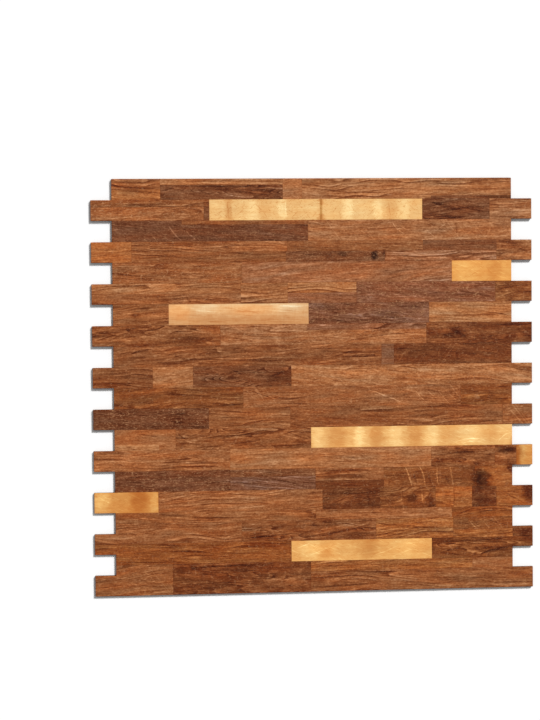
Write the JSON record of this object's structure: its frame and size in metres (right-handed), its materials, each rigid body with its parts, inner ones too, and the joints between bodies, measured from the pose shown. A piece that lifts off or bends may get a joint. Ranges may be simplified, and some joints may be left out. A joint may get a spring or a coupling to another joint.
{
  "type": "self-adhesive wall panel",
  "caption": "Thin flat wall panel with a wood-strip decor face, an adhesive back and square interlocking fingers cut along its left and right edges.",
  "frame": {"origin": "middle of the adhesive back face, which lies on the floor", "axes": "+X along the strips, +Y towards the top edge, +Z out of the decorative face"},
  "size_m": [0.32, 0.3, 0.003],
  "materials": {
    "wood_strip_decor": "satin"
  },
  "bodies": {
    "root": {"wall_panel": "wood_strip_decor"}
  },
  "joints": []
}
